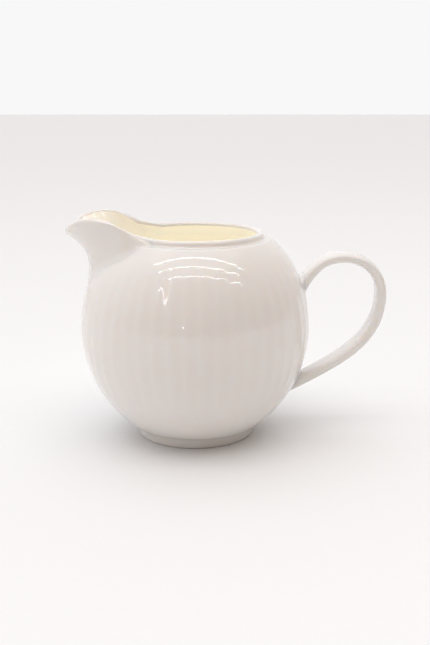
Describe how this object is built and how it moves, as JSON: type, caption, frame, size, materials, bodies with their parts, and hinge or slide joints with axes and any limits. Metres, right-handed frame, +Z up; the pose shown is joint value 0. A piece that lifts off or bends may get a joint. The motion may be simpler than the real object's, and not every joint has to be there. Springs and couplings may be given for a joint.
{
  "type": "ceramic pitcher",
  "caption": "Round-bellied glazed ceramic pitcher with a low foot ring, small rolled rim, broad beaked spout and an ear-shaped strap handle.",
  "frame": {"origin": "centre of the foot ring on the surface that the pitcher stands on", "axes": "+X towards the handle, the spout points along -X; +Z up along the belly's axis; +Y across, away from the side with the handle on the right"},
  "size_m": [0.1398, 0.1, 0.0975],
  "materials": {
    "white_glaze": "clear gloss glaze on warm white bone china, cream inside",
    "foot": "glazed wall with a bare, ground bottom edge"
  },
  "bodies": {
    "root": {"body": "white_glaze", "foot_ring": "foot", "rim": "white_glaze", "spout": "white_glaze", "handle": "white_glaze", "upper_joint": "white_glaze", "lower_joint": "white_glaze"}
  },
  "joints": []
}
